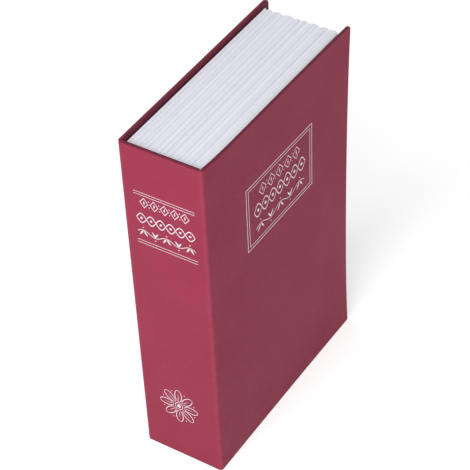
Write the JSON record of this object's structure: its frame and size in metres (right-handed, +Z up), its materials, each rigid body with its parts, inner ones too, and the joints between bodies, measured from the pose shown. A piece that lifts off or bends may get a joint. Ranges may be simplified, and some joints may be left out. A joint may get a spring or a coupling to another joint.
{
  "type": "book diversion safe",
  "caption": "Hardback book that hides a steel safe: hinged front cover, moulded page edges on three sides, and a folded tray with a hinged lid and a cam lock.",
  "frame": {"origin": "middle of the book's footprint, on the surface that it stands on", "axes": "+X from the spine to the fore edge, +Y from the front cover to the back cover, +Z up along the book's height"},
  "size_m": [0.155, 0.055, 0.24],
  "materials": {
    "covering": "satin",
    "greyboard": "matte",
    "endpaper": "matte",
    "page_plastic": "satin",
    "painted_steel": "satin",
    "zinc_steel": "satin",
    "lock_chrome": "polished",
    "lock_brass": "satin",
    "foil": "satin"
  },
  "bodies": {
    "case": {"case_covering": "covering", "back_board": "greyboard", "back_endpaper": "endpaper", "spine_card": "greyboard", "spine_lining": "endpaper", "head_page_edge": "page_plastic", "fore_page_edge": "page_plastic", "tail_page_edge": "page_plastic", "safe_tray": "painted_steel", "tray_hinge_leaf": "zinc_steel", "hinge_pin": "zinc_steel"},
    "front_cover": {"front_board": "greyboard", "front_covering": "covering", "front_endpaper": "endpaper", "front_joint": "covering"},
    "lid": {"lid_plate": "painted_steel", "lid_hinge_leaf": "zinc_steel", "lock_body": "lock_chrome", "lock_washer": "zinc_steel", "lock_nut": "zinc_steel"},
    "lock_rotor": {"lock_plug": "lock_brass", "lock_cam": "zinc_steel", "cam_washer": "zinc_steel", "cam_screw": "zinc_steel"}
  },
  "joints": [
    {"name": "cover_hinge", "type": "hinge", "parent": "case", "child": "front_cover", "pos_m": [-0.07735, -0.02735, 0.12], "axis": [0, 0, -1], "range_deg": [0, 180], "deforming": ["front_joint"]},
    {"name": "lid_hinge", "type": "hinge", "parent": "case", "child": "lid", "pos_m": [-0.0723, -0.02225, 0.12], "axis": [0, 0, -1], "range_deg": [0, 108]},
    {"name": "lock_turn", "type": "hinge", "parent": "lid", "child": "lock_rotor", "pos_m": [0.04015, -0.0224, 0.12], "axis": [0, 1, 0], "range_deg": [0, 90]}
  ],
  "couplings": [
    {"joint": "lid_hinge", "follows": "cover_hinge", "ratio": 0.6}
  ]
}
